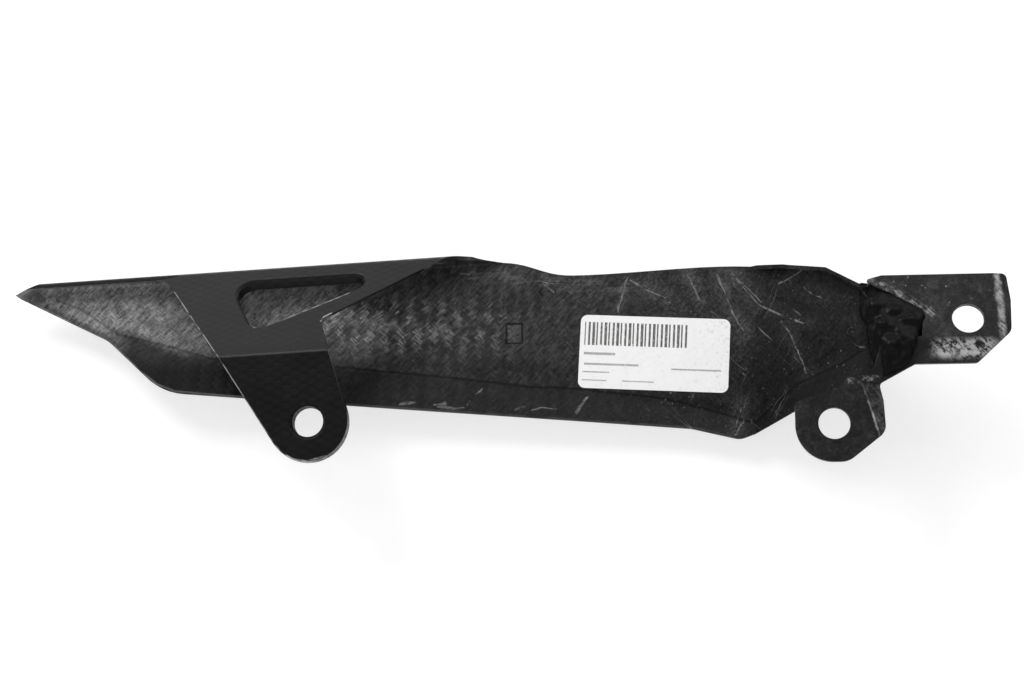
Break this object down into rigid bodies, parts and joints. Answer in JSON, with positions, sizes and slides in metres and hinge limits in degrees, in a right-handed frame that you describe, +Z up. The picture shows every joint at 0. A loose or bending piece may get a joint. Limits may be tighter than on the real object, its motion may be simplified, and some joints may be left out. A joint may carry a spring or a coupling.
{
  "type": "motorcycle chain guard",
  "caption": "Long moulded chain guard for a motorcycle: a folded channel open to the wheel, with a windowed inner wall, a rear tab with a bore and a bonded two-tab front bracket.",
  "frame": {"origin": "on the axis of the rear bore, where its flared mouth meets the straight wall, just inside the face of the rear tab that meets the swingarm", "axes": "+X forward along the swingarm, +Z up, +Y away from the wheel"},
  "size_m": [0.3962, 0.0419, 0.0903],
  "materials": {
    "laminate": "woven fibre laminate, satin on the wheel side of the inner wall and rough inside the channel",
    "bracket_laminate": "matte laminate, scuffed at the creases and edges",
    "adhesive": "lumpy cured adhesive with a soft shine",
    "label": "matte white sticker"
  },
  "bodies": {
    "root": {"guard_shell": "laminate", "front_bracket": "bracket_laminate", "bond_adhesive": "adhesive", "label": "label"}
  },
  "joints": []
}
